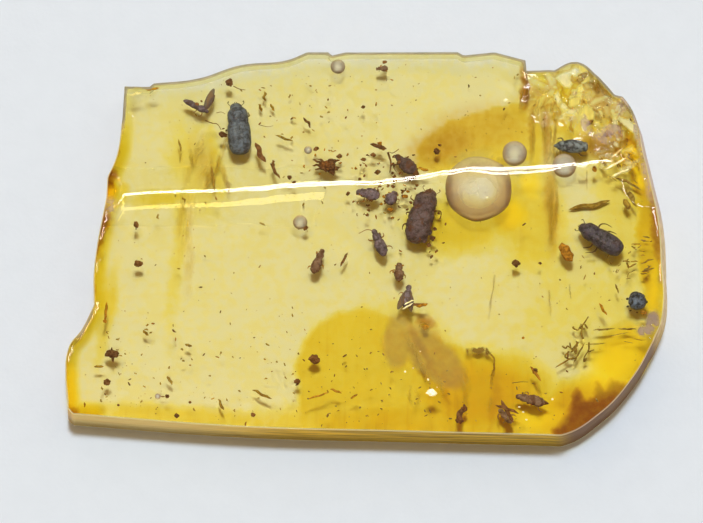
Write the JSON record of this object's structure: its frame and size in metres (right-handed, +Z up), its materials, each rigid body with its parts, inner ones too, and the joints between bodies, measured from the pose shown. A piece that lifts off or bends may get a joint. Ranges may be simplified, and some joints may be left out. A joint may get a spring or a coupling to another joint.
{
  "type": "insect in amber",
  "caption": "Thin flat polished slab of clear yellow amber with small beetles and other insects, air bubbles and wood crumbs sealed inside, to lie on a surface",
  "frame": {"origin": "Middle of the slab's box at its underside, on the surface that it lies on", "axes": "+X along the slab towards its rounded end, +Y towards the back edge, +Z up, out of the polished top"},
  "size_m": [0.0301, 0.0198, 0.0024],
  "materials": {
    "amber": "clear yellow fossil resin, polished flat, broken edges rough and glossy",
    "beetle_slate": "dark slate chitin with a dull silvery sheen",
    "insect_brown": "dark brown chitin, a little translucent at the legs and wings",
    "wood_crumbs": "matt reddish-brown wood crumbs and dust"
  },
  "bodies": {
    "root": {"amber_upper": "amber", "amber_lower": "amber", "beetle_tall": "beetle_slate", "beetle_wide": "beetle_slate", "beetle_long": "beetle_slate", "beetle_pointed": "beetle_slate", "beetle_curled": "beetle_slate", "winged_insect": "insect_brown", "wedge_insect": "insect_brown", "cluster_insect": "insect_brown", "round_insect": "insect_brown", "slender_insect": "insect_brown", "small_insect": "insect_brown", "striped_insect": "insect_brown", "pear_insect": "insect_brown", "front_insect": "insect_brown", "branched_insect": "insect_brown", "edge_insect": "insect_brown", "frass_clump": "wood_crumbs"}
  },
  "joints": []
}
